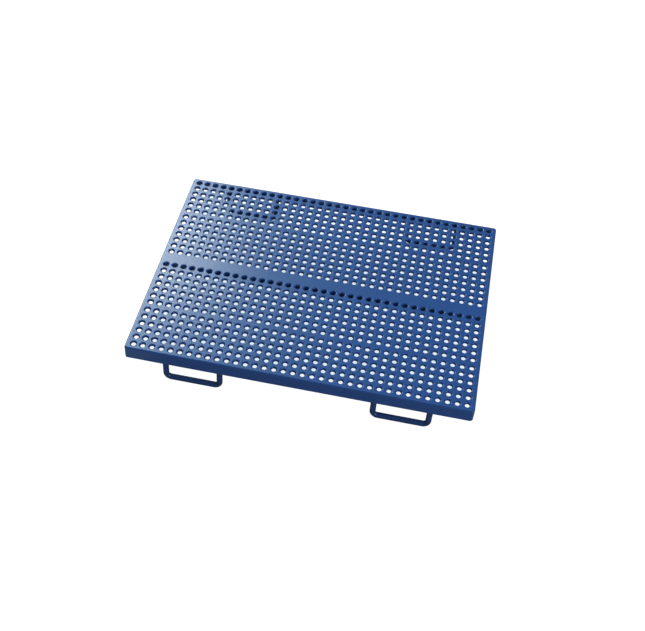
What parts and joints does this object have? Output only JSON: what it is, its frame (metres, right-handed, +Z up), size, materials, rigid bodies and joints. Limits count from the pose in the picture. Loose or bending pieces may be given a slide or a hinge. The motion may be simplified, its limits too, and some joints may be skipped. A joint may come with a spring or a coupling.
{
  "type": "perforated hive panel",
  "caption": "Blue powder-coated sheet tray with dished perforations, folded edges and a plain middle strip, on four bent-rod loop feet.",
  "frame": {"origin": "on the floor, under the middle of the panel", "axes": "+X along the longer side, +Y to the rear, +Z up through the deck"},
  "size_m": [0.514, 0.3922, 0.059],
  "materials": {
    "panel_coat": "satin",
    "web_coat": "satin",
    "foot_coat": "satin",
    "weld_coat": "satin"
  },
  "bodies": {
    "root": {"perforated_deck": "panel_coat", "front_flange": "panel_coat", "rear_flange": "panel_coat", "left_flange": "panel_coat", "right_flange": "panel_coat", "corner_seam_welds": "panel_coat", "center_stiffener": "web_coat", "stiffener_stitch_welds": "weld_coat", "stiffener_end_welds": "weld_coat", "front_left_foot": "foot_coat", "front_left_foot_welds": "weld_coat", "front_right_foot": "foot_coat", "front_right_foot_welds": "weld_coat", "rear_left_foot": "foot_coat", "rear_left_foot_welds": "weld_coat", "rear_right_foot": "foot_coat", "rear_right_foot_welds": "weld_coat"}
  },
  "joints": []
}
